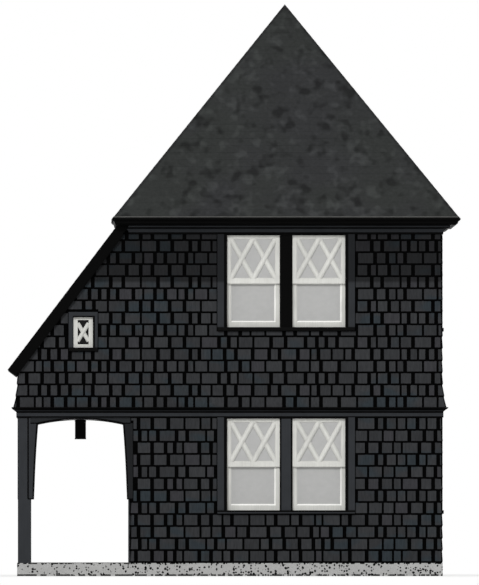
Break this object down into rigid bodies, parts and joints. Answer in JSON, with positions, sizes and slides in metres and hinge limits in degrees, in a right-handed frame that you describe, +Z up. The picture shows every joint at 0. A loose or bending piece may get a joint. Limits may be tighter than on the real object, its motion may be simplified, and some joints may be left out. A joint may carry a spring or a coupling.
{
  "type": "shingle-clad house with a side porch",
  "caption": "Shingle-clad house with a steep pyramid roof, a side wing under a catslide roof over an open porch, flared upper walls and latticed sash windows.",
  "frame": {"origin": "ground level, in the middle of the foundation", "axes": "+Z up, front of the house towards -Y, the porch wing on the -X side"},
  "size_m": [6.996, 5.38, 8.894],
  "materials": {
    "concrete": "speckled pale grey concrete",
    "floor_boards": "bare boards",
    "wall_shingles": "dark grey stained shingles",
    "belt_paint": "dark grey paint, satin",
    "eave_paint": "black paint, satin",
    "roof_shingles": "mottled dark grey shingles",
    "rough_timber": "bare timber",
    "casing_paint": "dark grey paint, satin",
    "sash_paint": "white paint, satin",
    "window_glass": "clear window glass",
    "porch_timber": "dark grey paint, satin",
    "ceiling_boards": "grey painted boards",
    "lantern_iron": "black enamel",
    "door_paint": "dark paint, satin"
  },
  "bodies": {
    "root": {"foundation": "concrete", "ground_floor": "floor_boards", "upper_floor": "floor_boards", "lower_front_wall": "wall_shingles", "lower_right_wall": "wall_shingles", "lower_back_wall": "wall_shingles", "lower_left_wall": "wall_shingles", "upper_front_wall": "wall_shingles", "upper_right_wall": "wall_shingles", "upper_back_wall": "wall_shingles", "upper_left_wall": "wall_shingles", "front_belt": "belt_paint", "right_belt": "belt_paint", "back_belt": "belt_paint", "left_belt": "belt_paint", "front_cornice": "eave_paint", "right_cornice": "eave_paint", "back_cornice": "eave_paint", "left_eave": "eave_paint", "rake_boards": "eave_paint", "front_roof_slope": "roof_shingles", "right_roof_slope": "roof_shingles", "back_roof_slope": "roof_shingles", "left_roof_slope": "roof_shingles", "catslide_roof": "roof_shingles", "wing_header": "rough_timber", "front_window_frames": "casing_paint", "right_window_frames": "casing_paint", "back_window_frames": "casing_paint", "door_frame": "casing_paint", "front_window_sashes": "sash_paint", "right_window_sashes": "sash_paint", "back_window_sashes": "sash_paint", "front_window_glass": "window_glass", "right_window_glass": "window_glass", "back_window_glass": "window_glass", "porch_posts": "porch_timber", "porch_brackets": "porch_timber", "front_porch_beam": "porch_timber", "side_porch_beam": "porch_timber", "back_porch_beam": "porch_timber", "porch_ceiling": "ceiling_boards", "porch_lantern": "lantern_iron", "entrance_door": "door_paint"}
  },
  "joints": []
}
